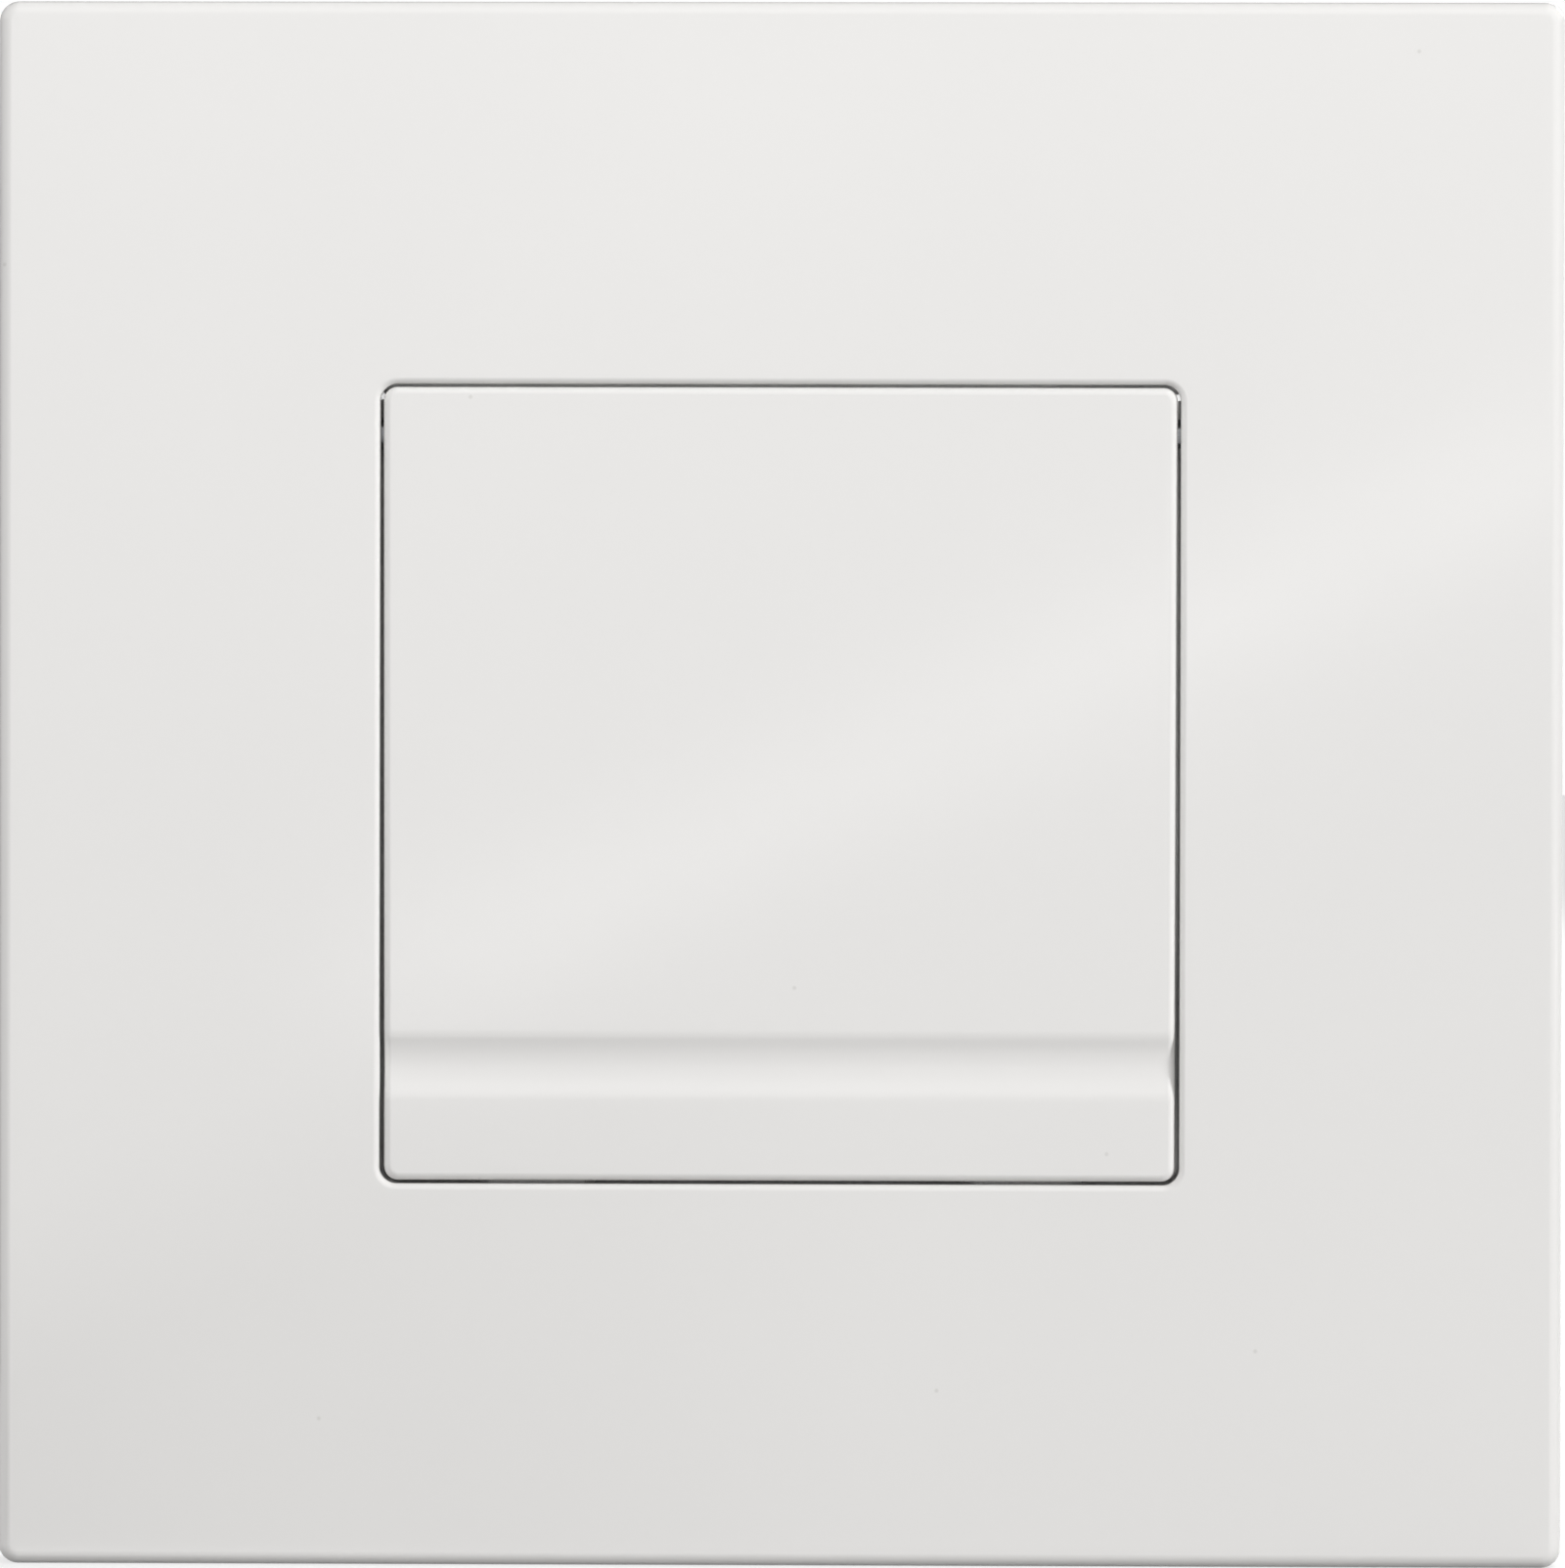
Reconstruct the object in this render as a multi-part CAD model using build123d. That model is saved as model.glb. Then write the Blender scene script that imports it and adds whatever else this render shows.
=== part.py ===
from build123d import *
import os

# Flush plate for a concealed cistern, in millimetres.
# +Z is up, the front faces -Y, and the origin is the middle of the plate on the wall plane.

# Cover plate
plate_width = 160.0
plate_height = 160.0
plate_depth = 11.0
plate_corner_radius = 2.0
plate_edge_radius = 1.4
plate_wall = 2.4
skirt_wall = 2.2
rib_wall = 1.2
rib_offset = 14.0
rib_clearance = 0.4

# Opening in the cover, with a collar behind it
opening_width = 81.8
opening_height = 81.8
opening_corner_radius = 1.7
opening_edge_radius = 0.7
collar_wall = 1.8
lip_thickness = 1.5
lip_reach = 0.9

# Button, a little narrower at its free lower end
gap_top = 0.3
gap_bottom = 0.35
gap_side_top = 0.3
gap_side_bottom = 0.45
button_wall = 2.2
button_side_wall = 1.8
button_side_depth = 7.5
button_top_depth = 3.4
button_corner_radius = 1.4
button_edge_radius = 0.8
flange_thickness = 1.2
flange_reach = 1.2
flange_clearance = 0.3
button_rib_wall = 1.2
button_rib_height = 3.0
button_rib_offset = 18.0
button_rib_top_clearance = 4.0

# Finger groove across the button
groove_width = 6.0
groove_depth = 0.67
groove_height = 11.8
groove_lip_radius = 3.2

# Hinge
hinge_depth = 5.5
hinge_drop = 4.9
pin_radius = 1.5
pin_seat_clearance = 0.02
pin_running_clearance = 0.06
pin_end = 0.5
button_lug_radius = 3.5
button_lug_length = 3.0
cover_boss_radius = 3.75
cover_boss_length = 3.0
snap_mouth = 2.4
snap_lead_in = 0.9
clip_rim = 1.2
clip_thickness = 0.8
clip_gap = 0.1

# Return springs on the hinge pin
return_wire = 0.8
return_turns = 2.25
return_pitch = 1.0
return_leg = 12.0
return_leg_bend = 1.0
return_end_gap = 0.5
seat_clearance = 0.05

# Stop tabs on the button and their buffers
stop_inset = 15.9
stop_width = 10.0
stop_thickness = 2.0
stop_reach = 6.0
stop_clearance = 0.1
notch_clearance = 1.0
buffer_width = 8.0
buffer_thickness = 1.8
buffer_clearance = 0.3

# Mounting frame
frame_margin = 8.0
frame_depth = 5.0
frame_floor = 2.2
frame_rim = 1.8
frame_corner_radius = 6.0
aperture_margin = 7.1
aperture_corner_radius = 4.0

# Snap hooks on the cover, latched under the frame's rim
hook_offset = 30.0
hook_width = 12.0
hook_thickness = 1.8
hook_clearance = 0.3
hook_catch = 1.4
hook_end_clearance = 0.8
latch_thickness = 1.6
latch_clearance = 0.1

# Fixing screws and washers
screw_radius = 3.0
screw_shank_radius = 2.7
screw_length = 55.0
screw_tip_chamfer = 0.8
screw_head_radius = 5.0
screw_head_height = 3.3
washer_radius = 6.0
washer_bore_clearance = 0.3
washer_thickness = 1.2
slot_clearance = 0.5
slot_travel = 9.0

# Push rod, its guide yoke and its spring
rod_arm = 54.0
rod_radius = 3.0
rod_running_clearance = 0.1
rod_seat_clearance = 0.02
head_proud = 2.0
head_radius = 6.0
head_thickness = 3.0
head_neck_radius = 3.7
head_neck_length = 2.0
head_socket_depth = 3.0
boss_radius = 4.5
boss_dome_radius = 6.0
contact_gap = 0.1
yoke_front = 14.0
yoke_wall = 2.6
yoke_height = 14.0
yoke_bend_radius = 3.0
guide_radius = 5.5
guide_length = 13.0
gusset_wall = 2.0
gusset_length = 22.0
ring_radius = 5.0
ring_thickness = 1.0
ring_gap = 0.1
rod_spring_wire = 0.9
rod_spring_radius = 4.4
rod_spring_turns = 3.5
nut_position = 44.0
nut_flats = 10.0
nut_height = 3.2
tip_radius = 4.5
tip_length = 18.0
tip_bore_depth = 12.0
tip_chamfer = 1.0

# Straight steps in a turn of spring wire, and sides of the bar that stands for the round wire
turn_steps = 14
wire_sides = 4

# Overlap given to pieces that are joined, overrun given to cuts, and distance that counts as none
weld = 0.4
overrun = 1.0
near = 0.04

# Planes and places that several pieces share
front = -plate_depth
cover_inner = front + plate_wall
hinge_y = front + hinge_depth
hinge_z = opening_height / 2 - hinge_drop
return_radius = hinge_depth - button_wall - return_wire / 2 - seat_clearance
collar_rear = hinge_y + return_radius - return_wire / 2 - seat_clearance
boss_end_x = opening_width / 2 + collar_wall + cover_boss_length
button_top = opening_height / 2 - gap_top
button_bottom = -opening_height / 2 + gap_bottom
button_rear = front + button_side_depth
groove_z = button_bottom + groove_height
stop_offset = opening_width / 2 - stop_inset
stop_front = cover_inner + buffer_thickness + stop_clearance
stop_bottom = -opening_height / 2 - stop_reach
frame_width = plate_width - 2 * frame_margin
frame_height = plate_height - 2 * frame_margin
aperture_width = opening_width + 2 * aperture_margin
aperture_height = opening_height + 2 * aperture_margin
latch_face = -frame_depth + latch_thickness
screw_x = (aperture_width + frame_width) / 4
rod_z = hinge_z - rod_arm
head_front = -head_proud
head_rear = head_front + head_thickness
guide_rear = yoke_front + guide_length
tip_front = nut_position + nut_height


def prism(sketch, y_from, y_to):
    """A front-view sketch, drawn in X and Z, carried from y_from back to y_to."""
    return extrude(Plane.XZ.offset(-y_to) * sketch, amount=y_to - y_from)


def side_profile(sketch, x_from, x_to):
    """A side-view sketch, drawn in Y and Z, carried from x_from to x_to."""
    return extrude(Plane.YZ.offset(x_from) * sketch, amount=x_to - x_from)


def span(x_from, x_to, z_from, z_to):
    """A rectangle in front view, given by its edges."""
    middle = Pos((x_from + x_to) / 2, (z_from + z_to) / 2)
    return middle * Rectangle(x_to - x_from, z_to - z_from)


def cross_rod(radius, x_from, x_to, y=hinge_y, z=hinge_z):
    """A cylinder along X, on the hinge axis unless told otherwise."""
    return side_profile(Pos(y, z) * Circle(radius), x_from, x_to)


def turned(outline, x, z):
    """A turned piece on a line along Y: the outline gives radius and y, point by point."""
    half = Plane.XY * make_face(Polyline(*outline, close=True))
    return Pos(x, 0, z) * revolve(half, Axis.Y)


def mirrored(piece):
    return mirror(piece, about=Plane.YZ)


def both_sides(piece):
    return piece + mirrored(piece)


# Cover plate: one white moulding, a shallow tray with a collared opening


def cover_shell():
    outline = RectangleRounded(plate_width, plate_height, plate_corner_radius)
    shell = prism(outline, front, 0)
    shell = fillet(shell.faces().sort_by(Axis.Y)[0].edges(), plate_edge_radius)
    inside = Rectangle(plate_width - 2 * skirt_wall, plate_height - 2 * skirt_wall)
    return shell - prism(inside, cover_inner, overrun)


def opening_outline(growth=0.0):
    corner = opening_corner_radius + growth
    return RectangleRounded(opening_width + 2 * growth, opening_height + 2 * growth, corner)


def cover_ribs():
    depth_to = -frame_depth - rib_clearance
    inner_x = plate_width / 2 - skirt_wall + weld
    inner_z = plate_height / 2 - skirt_wall + weld
    across = span(-inner_x, inner_x, rib_offset - rib_wall / 2, rib_offset + rib_wall / 2)
    upright = span(rib_offset - rib_wall / 2, rib_offset + rib_wall / 2, -inner_z, inner_z)
    grid = across + mirror(across, about=Plane.XZ) + upright + mirror(upright, about=Plane.YZ)
    return prism(grid - opening_outline(collar_wall / 2), cover_inner - weld, depth_to)


def snap_hook():
    """Upper right hook: a flexible arm from the front wall, its nose under the frame's rim."""
    arm_inner = frame_height / 2 + hook_clearance
    arm_end = -hook_end_clearance
    outline = Polyline(
        (cover_inner - weld, arm_inner),
        (latch_face + latch_clearance, arm_inner),
        (latch_face + latch_clearance, frame_height / 2 - hook_catch),
        (arm_end, arm_inner),
        (arm_end, arm_inner + hook_thickness),
        (cover_inner - weld, arm_inner + hook_thickness),
        close=True,
    )
    return side_profile(
        make_face(outline), hook_offset - hook_width / 2, hook_offset + hook_width / 2
    )


def pin_seat():
    """Cut for one end of the hinge pin: a bore with a flared mouth, for snapping in from behind."""
    start = opening_width / 2 - weld
    end = boss_end_x + overrun
    boss_rear = hinge_y + cover_boss_radius
    half = snap_mouth / 2
    mouth = make_face(
        Polyline(
            (hinge_y, hinge_z - half),
            (boss_rear - snap_lead_in, hinge_z - half),
            (boss_rear, hinge_z - half - snap_lead_in),
            (boss_rear, hinge_z + half + snap_lead_in),
            (boss_rear - snap_lead_in, hinge_z + half),
            (hinge_y, hinge_z + half),
            close=True,
        )
    )
    return cross_rod(pin_radius + pin_seat_clearance, start, end) + side_profile(mouth, start, end)


def cover_plate():
    cover = cover_shell()
    cover += prism(opening_outline(collar_wall), cover_inner - weld, collar_rear)
    cover += both_sides(cross_rod(cover_boss_radius, opening_width / 2 + weld, boss_end_x))
    cover += cover_ribs()
    upper_hooks = both_sides(snap_hook())
    cover += upper_hooks + mirror(upper_hooks, about=Plane.XY)
    cover -= prism(opening_outline(), front - overrun, overrun)
    mouth = cover.edges().group_by(Axis.Y)[0]
    mouth = [e for e in mouth if abs(e.center().Z) < opening_height / 2 + weld]
    mouth = [e for e in mouth if abs(e.center().X) < opening_width / 2 + weld]
    cover = fillet(mouth, opening_edge_radius)

    # Lip behind the button's upper edge, which closes the view through the hinge gap
    lip_front = front + button_top_depth + rib_clearance
    lip_bottom = opening_height / 2 - lip_reach
    half = opening_width / 2 + weld
    lip = span(-half, half, lip_bottom, opening_height / 2 + weld)
    cover += prism(lip, lip_front, lip_front + lip_thickness)

    # Notches in the collar for the stop tabs, and the bore for the hinge pin
    notch_half = stop_width / 2 + notch_clearance
    notch = span(
        stop_offset - notch_half,
        stop_offset + notch_half,
        -opening_height / 2 - collar_wall - weld,
        -opening_height / 2 + weld,
    )
    cover -= both_sides(prism(notch, stop_front - notch_clearance / 2, overrun))
    return cover - both_sides(pin_seat())


# Button: one white moulding with a hollow back


def button_outline(inset=0.0):
    top_half = opening_width / 2 - gap_side_top - inset
    bottom_half = opening_width / 2 - gap_side_bottom - inset
    face = make_face(
        Polyline(
            (-bottom_half, button_bottom + inset),
            (bottom_half, button_bottom + inset),
            (top_half, button_top - inset),
            (-top_half, button_top - inset),
            close=True,
        )
    )
    return fillet(face.vertices(), button_corner_radius)


def grooved_side(face_y, rear_y):
    """Side view of everything behind the button's face, or behind its inner face, with the groove."""
    shallow = face_y
    deep = face_y + groove_depth
    half = groove_width / 2
    line = Polyline((shallow, button_bottom - overrun), (shallow, groove_z - half))
    sag = ThreePointArc((shallow, groove_z - half), (deep, groove_z), (shallow, groove_z + half))
    rest = Polyline(
        (shallow, groove_z + half),
        (shallow, button_top + overrun),
        (rear_y, button_top + overrun),
        (rear_y, button_bottom - overrun),
        (shallow, button_bottom - overrun),
    )
    face = make_face(line + sag + rest)
    lips = [v for v in face.vertices() if abs(abs(v.Y - groove_z) - half) < near]
    face = fillet(lips, groove_lip_radius)
    return side_profile(face, -opening_width / 2, opening_width / 2)


def button_shell():
    block = prism(button_outline(), front - overrun, button_rear)
    block &= grooved_side(front, button_rear + overrun)
    block = block.solid()
    deepest = front + groove_depth + near
    rim = [e for e in block.edges() if e.center().Y < deepest]
    inner_z = opening_height / 2 - button_corner_radius - gap_bottom
    rim = [e for e in rim if not (abs((e % 0.5).X) > 1 - near and abs(e.center().Z) < inner_z)]
    block = fillet(rim, button_edge_radius)
    cavity = prism(button_outline(button_side_wall), front, button_rear + overrun)
    cavity &= grooved_side(front + button_wall, button_rear + 2 * overrun)
    return block - cavity


def push_boss():
    """Round boss with a domed end, which presses the rod's head."""
    end = head_front - contact_gap
    root = front + button_wall - weld
    outline = Pos(0, rod_z) * Circle(boss_radius)
    trunk = prism(outline, root, end - boss_dome_radius / 2)
    dome = Pos(0, end - boss_dome_radius, rod_z) * Sphere(boss_dome_radius)
    return trunk + (prism(outline, root, end) & dome)


def flush_button():
    button = button_shell()
    wall_x = opening_width / 2 - gap_side_top - button_side_wall
    lugs = both_sides(cross_rod(button_lug_radius, wall_x - button_lug_length, opening_width / 2))
    button += lugs & prism(button_outline(), front + button_edge_radius, overrun)

    # Flange round the sides and the lower end, behind the collar, which closes the view through the gap
    flange_front = hinge_y + cover_boss_radius + flange_clearance
    flange_rear = flange_front + flange_thickness
    inside = button_outline(button_side_wall)
    below = span(-opening_width, opening_width, -opening_height, hinge_z + button_lug_radius)
    button += prism((button_outline() - inside) & below, button_rear - weld, flange_rear)
    button += prism((opening_outline(flange_reach) - inside) & below, flange_front, flange_rear)

    # Relief behind the upper edge, so that it swings clear of the lip
    lug_x = wall_x - button_lug_length
    relief = span(-opening_width, opening_width, hinge_z + button_lug_radius, button_top + overrun)
    relief += span(-lug_x, lug_x, button_top - button_side_wall - weld, button_top + overrun)
    button -= prism(relief, front + button_top_depth, overrun)

    # Ribs that stiffen the face, and the boss that works the push rod
    rib_top = hinge_z - button_lug_radius - button_rib_top_clearance
    rib_half = button_rib_wall / 2
    upright = span(
        button_rib_offset - rib_half,
        button_rib_offset + rib_half,
        button_bottom + button_side_wall - weld,
        rib_top,
    )
    across = span(-button_rib_offset, button_rib_offset, rod_z - rib_half, rod_z + rib_half)
    rib_grid = upright + mirror(upright, about=Plane.YZ) + across
    rib_rear = front + button_wall + button_rib_height
    button += prism(rib_grid, front + button_wall - weld, rib_rear)
    button += push_boss()

    # Stop tabs that reach behind the cover below the opening
    tab = span(
        stop_offset - stop_width / 2,
        stop_offset + stop_width / 2,
        stop_bottom,
        button_bottom + button_side_wall,
    )
    button += both_sides(prism(tab, stop_front, stop_front + stop_thickness))
    return button - cross_rod(pin_radius + pin_running_clearance, -plate_width, plate_width)


# Hinge pin and the clips on its ends


def hinge_pin():
    end = boss_end_x + clip_gap + clip_thickness + pin_end
    return cross_rod(pin_radius, -end, end)


def pin_clip():
    bore = pin_radius + pin_seat_clearance
    start = boss_end_x + clip_gap
    disc = cross_rod(pin_radius + clip_rim, start, start + clip_thickness)
    return disc - cross_rod(bore, start - overrun, start + clip_thickness + overrun)


# Return springs: wound on the pin, one leg on the button's inner face and one on the collar


def coil_points(radius, pitch, turns):
    """Points along a coil about Z, from the X axis."""
    steps = round(turn_steps * turns)
    rise = Vector(0, 0, pitch * turns / steps)
    first = Vector(radius, 0, 0)
    return [first.rotate(Axis.Z, 360 * turns * i / steps) + rise * i for i in range(steps + 1)]


def wire_along(points, wire):
    path = Polyline(*points)
    section = Plane(path @ 0, z_dir=path % 0) * RegularPolygon(wire / 2, wire_sides)
    return sweep(section, path=path, transition=Transition.RIGHT)


def return_spring():
    coil = coil_points(return_radius, return_pitch, return_turns)
    leg_start = coil[0] - Vector(0, return_leg, 0)
    rise = opening_height / 2 + collar_wall - hinge_z - return_radius
    bend = coil[-1] - Vector(return_radius, 0, 0)
    cover_leg = [
        bend + Vector(return_leg_bend, 0, 0),
        bend + Vector(0, return_leg_bend, 0),
        bend + Vector(0, rise, 0),
    ]
    wall_x = opening_width / 2 - gap_side_top - button_side_wall
    outer_x = wall_x - button_lug_length - return_end_gap - return_wire / 2
    place = Plane((outer_x, hinge_y, hinge_z), x_dir=(0, -1, 0), z_dir=(-1, 0, 0))
    return place * wire_along([leg_start, *coil, *cover_leg], return_wire)


# Rubber buffers on the cover's inner face, in front of the stop tabs


def stop_buffer():
    pad = span(
        stop_offset - buffer_width / 2,
        stop_offset + buffer_width / 2,
        stop_bottom,
        -opening_height / 2 - collar_wall - buffer_clearance,
    )
    return prism(pad, cover_inner, cover_inner + buffer_thickness)


# Mounting frame: a channel-section ring with a set-back yoke that guides the push rod


def frame_ring():
    outline = RectangleRounded(frame_width, frame_height, frame_corner_radius)
    aperture = RectangleRounded(aperture_width, aperture_height, aperture_corner_radius)
    channel_outer = RectangleRounded(
        frame_width - 2 * frame_rim, frame_height - 2 * frame_rim, frame_corner_radius - frame_rim
    )
    channel_inner = RectangleRounded(
        aperture_width + 2 * frame_rim, aperture_height + 2 * frame_rim, aperture_corner_radius + frame_rim
    )
    ring = prism(outline - aperture, -frame_depth, 0)
    return ring - prism(channel_outer - channel_inner, -frame_depth - overrun, -frame_floor)


def yoke():
    half = aperture_width / 2
    bar_rear = yoke_front + yoke_wall
    outer = Rectangle(2 * half + 2 * yoke_wall, bar_rear + frame_floor)
    outer = Pos(0, (bar_rear - frame_floor) / 2) * outer
    outer = fillet(outer.vertices().group_by(Axis.Y)[-1], yoke_bend_radius + yoke_wall)
    inner = Pos(0, (yoke_front - plate_depth) / 2) * Rectangle(2 * half, yoke_front + plate_depth)
    inner = fillet(inner.vertices().group_by(Axis.Y)[-1], yoke_bend_radius)
    strap = extrude(Plane.XY.offset(rod_z - yoke_height / 2) * (outer - inner), amount=yoke_height)
    gusset = make_face(
        Polyline(
            (-gusset_length, bar_rear - weld),
            (gusset_length, bar_rear - weld),
            (guide_radius, guide_rear - overrun),
            (-guide_radius, guide_rear - overrun),
            close=True,
        )
    )
    web = extrude(Plane.XY.offset(rod_z - gusset_wall / 2) * gusset, amount=gusset_wall)
    tube = prism(Pos(0, rod_z) * Circle(guide_radius), yoke_front, guide_rear)
    bore = Pos(0, rod_z) * Circle(rod_radius + rod_running_clearance)
    return strap + web + tube - prism(bore, 0, guide_rear + overrun)


def mounting_frame():
    frame = frame_ring() + yoke()
    slot_width = 2 * (screw_shank_radius + slot_clearance)
    slot = Pos(screw_x, 0) * Rot(0, 0, 90) * SlotOverall(slot_width + slot_travel, slot_width)
    frame -= both_sides(prism(slot, -frame_depth, overrun))
    catch_half = hook_width / 2 + hook_clearance
    catch = span(
        hook_offset - catch_half,
        hook_offset + catch_half,
        frame_height / 2 - frame_rim - hook_clearance,
        frame_height / 2 + overrun,
    )
    upper = both_sides(prism(catch, latch_face, overrun))
    return frame - upper - mirror(upper, about=Plane.XY)


# Fixing screws and washers


def fixing_screw():
    seat = -frame_floor - washer_thickness
    top = seat - screw_head_height
    outline = [
        (0, top),
        (screw_head_radius, top),
        (screw_head_radius, seat),
        (screw_shank_radius, seat),
        (screw_shank_radius, 0),
        (screw_radius, 0),
        (screw_radius, screw_length - screw_tip_chamfer),
        (screw_radius - screw_tip_chamfer, screw_length),
        (0, screw_length),
    ]
    return turned(outline, screw_x, 0)


def fixing_washer():
    bore = screw_shank_radius + washer_bore_clearance
    band = Pos(screw_x, 0) * (Circle(washer_radius) - Circle(bore))
    return prism(band, -frame_floor - washer_thickness, -frame_floor)


# Push rod: head, rod, retaining ring, locknut and adjustable tip, and the spring that lifts it


def push_rod():
    end = tip_front + tip_bore_depth
    start = head_rear + head_neck_length - head_socket_depth
    return prism(Pos(0, rod_z) * Circle(rod_radius), start, end)


def push_rod_head():
    bore = rod_radius + rod_seat_clearance
    neck_end = head_rear + head_neck_length
    outline = [
        (0, head_front),
        (head_radius, head_front),
        (head_radius, head_rear),
        (head_neck_radius, head_rear),
        (head_neck_radius, neck_end),
        (bore, neck_end),
        (bore, neck_end - head_socket_depth),
        (0, neck_end - head_socket_depth),
    ]
    return turned(outline, 0, rod_z)


def rod_retaining_ring():
    band = Circle(ring_radius) - Circle(rod_radius + rod_seat_clearance)
    start = guide_rear + ring_gap
    return prism(Pos(0, rod_z) * band, start, start + ring_thickness)


def push_rod_locknut():
    hexagon = RegularPolygon(nut_flats / 2, 6, major_radius=False)
    body = hexagon - Circle(rod_radius + rod_seat_clearance)
    return prism(Pos(0, rod_z) * body, nut_position, tip_front)


def push_rod_tip():
    bore = rod_radius + rod_seat_clearance
    end = tip_front + tip_length
    outline = [
        (bore, tip_front),
        (tip_radius, tip_front),
        (tip_radius, end - tip_chamfer),
        (tip_radius - tip_chamfer, end),
        (0, end),
        (0, tip_front + tip_bore_depth),
        (bore, tip_front + tip_bore_depth),
    ]
    return turned(outline, 0, rod_z)


def rod_spring():
    seat = rod_spring_wire / 2 + seat_clearance
    height = yoke_front - head_rear - 2 * seat
    coil = coil_points(rod_spring_radius, height / rod_spring_turns, rod_spring_turns)
    place = Plane((0, head_rear + seat, rod_z), x_dir=(1, 0, 0), z_dir=(0, 1, 0))
    return place * wire_along(coil, rod_spring_wire)


# The finished pieces

pieces = {
    "cover_plate": cover_plate(),
    "flush_button": flush_button(),
    "hinge_pin": hinge_pin(),
    "mounting_frame": mounting_frame(),
    "push_rod": push_rod(),
    "push_rod_head": push_rod_head(),
    "push_rod_locknut": push_rod_locknut(),
    "push_rod_tip": push_rod_tip(),
    "rod_retaining_ring": rod_retaining_ring(),
    "rod_spring": rod_spring(),
}
right_hand = {
    "pin_clip": pin_clip(),
    "return_spring": return_spring(),
    "stop_buffer": stop_buffer(),
    "fixing_screw": fixing_screw(),
    "fixing_washer": fixing_washer(),
}
for name, piece in right_hand.items():
    pieces[name + "_right"] = piece
    pieces[name + "_left"] = mirrored(piece)

os.makedirs("parts", exist_ok=True)
for name, piece in pieces.items():
    export_step(piece, f"parts/{name}.step")
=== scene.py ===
import math

import bmesh
import bpy
from mathutils import Matrix, Quaternion, Vector


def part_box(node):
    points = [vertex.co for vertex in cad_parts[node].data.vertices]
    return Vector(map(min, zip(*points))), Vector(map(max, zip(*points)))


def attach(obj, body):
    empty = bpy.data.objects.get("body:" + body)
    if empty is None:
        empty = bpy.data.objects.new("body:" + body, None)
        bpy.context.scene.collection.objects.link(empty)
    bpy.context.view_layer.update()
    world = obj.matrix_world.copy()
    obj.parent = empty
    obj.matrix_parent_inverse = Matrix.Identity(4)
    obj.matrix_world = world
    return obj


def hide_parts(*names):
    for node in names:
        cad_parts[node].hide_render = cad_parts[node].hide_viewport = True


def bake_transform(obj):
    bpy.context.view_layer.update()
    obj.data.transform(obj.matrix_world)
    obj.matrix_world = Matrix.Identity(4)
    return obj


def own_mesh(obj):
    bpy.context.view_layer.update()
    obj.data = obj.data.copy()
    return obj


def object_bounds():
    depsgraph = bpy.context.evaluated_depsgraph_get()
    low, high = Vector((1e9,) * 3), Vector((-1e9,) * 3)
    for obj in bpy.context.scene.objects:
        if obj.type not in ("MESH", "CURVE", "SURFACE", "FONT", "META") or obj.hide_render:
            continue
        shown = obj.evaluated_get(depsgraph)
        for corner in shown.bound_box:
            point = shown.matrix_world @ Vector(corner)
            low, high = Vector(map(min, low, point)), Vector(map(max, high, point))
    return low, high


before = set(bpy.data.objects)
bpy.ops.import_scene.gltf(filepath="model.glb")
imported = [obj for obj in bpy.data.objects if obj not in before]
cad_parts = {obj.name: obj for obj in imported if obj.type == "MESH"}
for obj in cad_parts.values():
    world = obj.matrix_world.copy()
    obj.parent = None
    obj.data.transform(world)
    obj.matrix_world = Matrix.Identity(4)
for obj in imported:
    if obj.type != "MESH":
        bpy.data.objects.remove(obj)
cad_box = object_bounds()

# Cover plate: one injection moulding in slightly warm white ABS with a polished face.
# Its skirt stands on the wall, and four hooks behind it snap under the mounting frame's rim.
MM = 0.001


def shader_group(name, inputs, outputs):
    """An empty node group with float sockets, and a Vector input first."""
    group = bpy.data.node_groups.new(name, "ShaderNodeTree")
    group.interface.new_socket("Vector", in_out="INPUT", socket_type="NodeSocketVector")
    for label, value in inputs.items():
        socket = group.interface.new_socket(label, in_out="INPUT", socket_type="NodeSocketFloat")
        socket.default_value = value
    for label in outputs:
        group.interface.new_socket(label, in_out="OUTPUT", socket_type="NodeSocketFloat")
    return group, group.nodes.new("NodeGroupInput"), group.nodes.new("NodeGroupOutput")


def noise(tree, vector, scale, detail=2.0):
    """A noise node on the given coordinates; scale is a number or a socket, in turns per metre."""
    texture = tree.nodes.new("ShaderNodeTexNoise")
    texture.inputs["Detail"].default_value = detail
    tree.links.new(vector, texture.inputs["Vector"])
    if isinstance(scale, float):
        texture.inputs["Scale"].default_value = scale
    else:
        tree.links.new(scale, texture.inputs["Scale"])
    return texture.outputs["Fac"]


def spread(tree, value, low, high, to_low=0.0, to_high=1.0):
    """The value between low and high, stretched and clamped to a new range."""
    node = tree.nodes.new("ShaderNodeMapRange")
    node.inputs["From Min"].default_value = low
    node.inputs["From Max"].default_value = high
    node.inputs["To Min"].default_value = to_low
    node.inputs["To Max"].default_value = to_high
    tree.links.new(value, node.inputs["Value"])
    return node.outputs["Result"]


def product(tree, first, second):
    node = tree.nodes.new("ShaderNodeMath")
    node.operation = "MULTIPLY"
    tree.links.new(first, node.inputs[0])
    tree.links.new(second, node.inputs[1])
    return node.outputs["Value"]


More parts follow.
